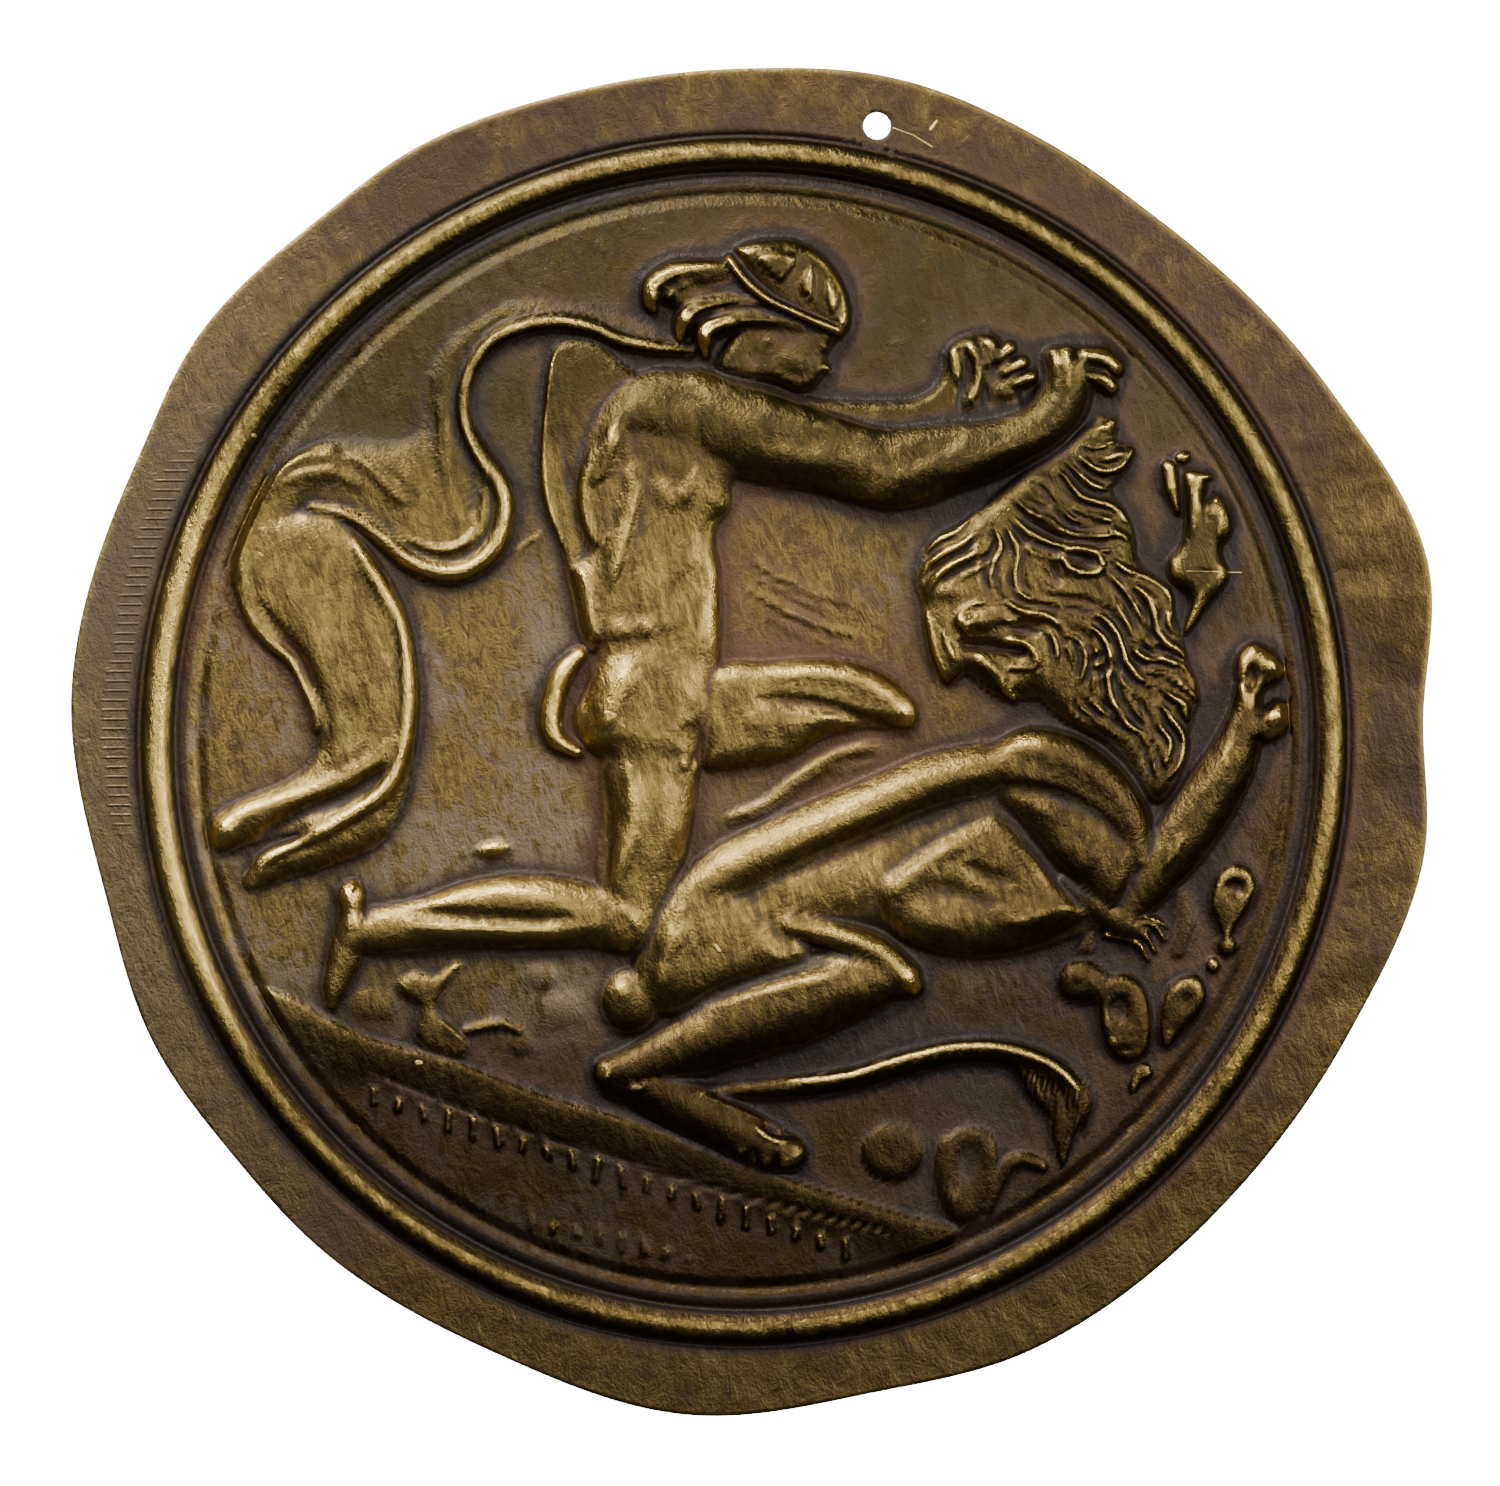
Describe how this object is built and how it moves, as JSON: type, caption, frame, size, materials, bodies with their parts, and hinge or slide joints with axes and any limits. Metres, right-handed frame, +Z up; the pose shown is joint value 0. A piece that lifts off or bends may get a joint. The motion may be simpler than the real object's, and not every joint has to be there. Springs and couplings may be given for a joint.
{
  "type": "relief wall plaque",
  "caption": "Round-field embossed sheet-brass wall plaque: a kneeling capped youth wrestles a lion in relief inside a raised bead, with a hand-cut plain rim and a nail hole.",
  "frame": {"origin": "centre of the nail hole, on the plane of the wall that the flat back of the rim lies on", "axes": "+Z up as the plaque is shown, +X to the right of someone facing it; the front faces -Y"},
  "size_m": [0.1499, 0.0065, 0.1485],
  "materials": {
    "aged_brass": "hand-rubbed on the high places, dark brown patina in the hollows"
  },
  "bodies": {
    "root": {"embossed_plaque": "aged_brass"}
  },
  "joints": []
}
